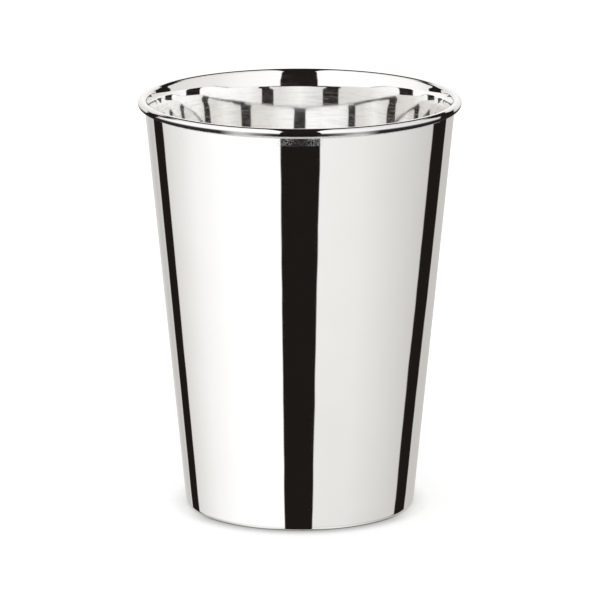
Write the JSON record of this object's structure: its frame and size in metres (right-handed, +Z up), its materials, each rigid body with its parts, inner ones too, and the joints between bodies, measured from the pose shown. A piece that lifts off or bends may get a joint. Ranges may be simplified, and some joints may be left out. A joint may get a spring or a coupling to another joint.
{
  "type": "tumbler",
  "caption": "Plain tapered metal drinking tumbler, mirror-polished inside and out, with a round wire rim, a rounded foot edge and a flat standing ring.",
  "frame": {"origin": "centre of the standing ring, on the table plane", "axes": "+Z up along the cup's axis, -Y towards the viewer of the picture, +X to the viewer's right; the cup is round about Z"},
  "size_m": [0.0776, 0.0776, 0.1],
  "materials": {
    "polished_silver": "mirror-polished silver plate, with faint spinning lines inside",
    "rim_silver": "mirror-polished silver plate on round wire",
    "floor_silver": "polished silver plate with fine turning lines, satin underneath",
    "silver_solder": "silver solder left matt, duller than the polished sheet"
  },
  "bodies": {
    "root": {"side_wall": "polished_silver", "rim_wire": "rim_silver", "rim_solder": "silver_solder", "floor_disc": "floor_silver", "floor_solder": "silver_solder"}
  },
  "joints": []
}
